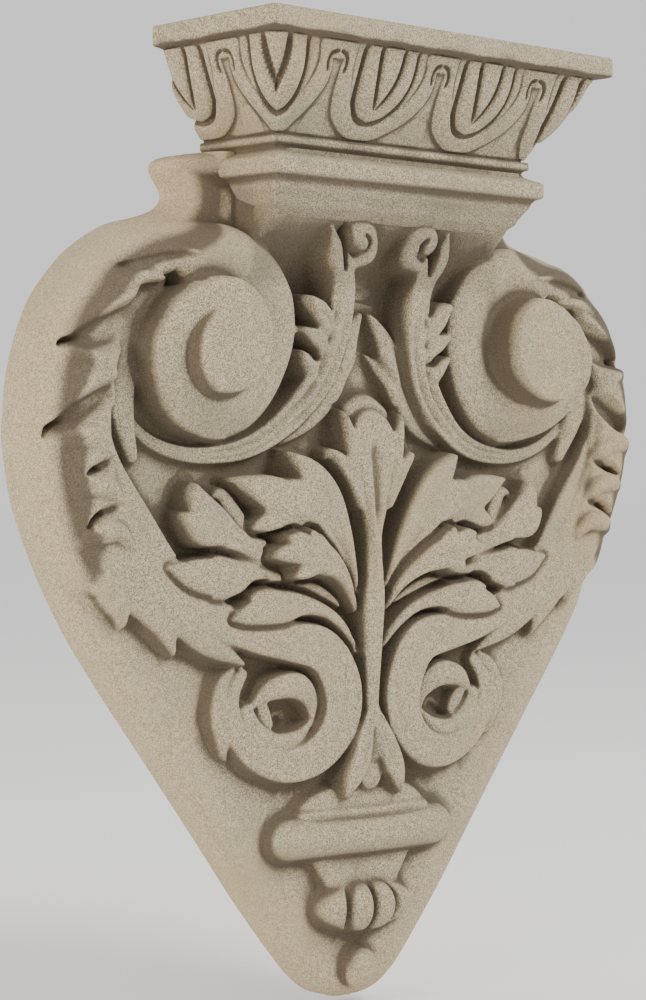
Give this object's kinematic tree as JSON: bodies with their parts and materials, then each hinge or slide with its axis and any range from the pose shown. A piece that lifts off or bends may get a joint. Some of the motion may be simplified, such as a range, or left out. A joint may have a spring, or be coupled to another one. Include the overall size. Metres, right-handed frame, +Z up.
{
  "type": "decorative wall console",
  "caption": "Carved stone wall console: heart-shaped back plate with volutes, acanthus leaves and a small urn under a moulded shelf.",
  "frame": {"origin": "on the flat back face, on the centre line, 0.25 m below the top, which is about half way up", "axes": "+Z up, +Y into the wall, so the carved front looks to -Y, +X to the right seen from the front"},
  "size_m": [0.4308, 0.0905, 0.4958],
  "materials": {
    "stone": "matte, fine-grained, with darker dirt in the recesses"
  },
  "bodies": {
    "root": {"console": "stone"}
  },
  "joints": []
}
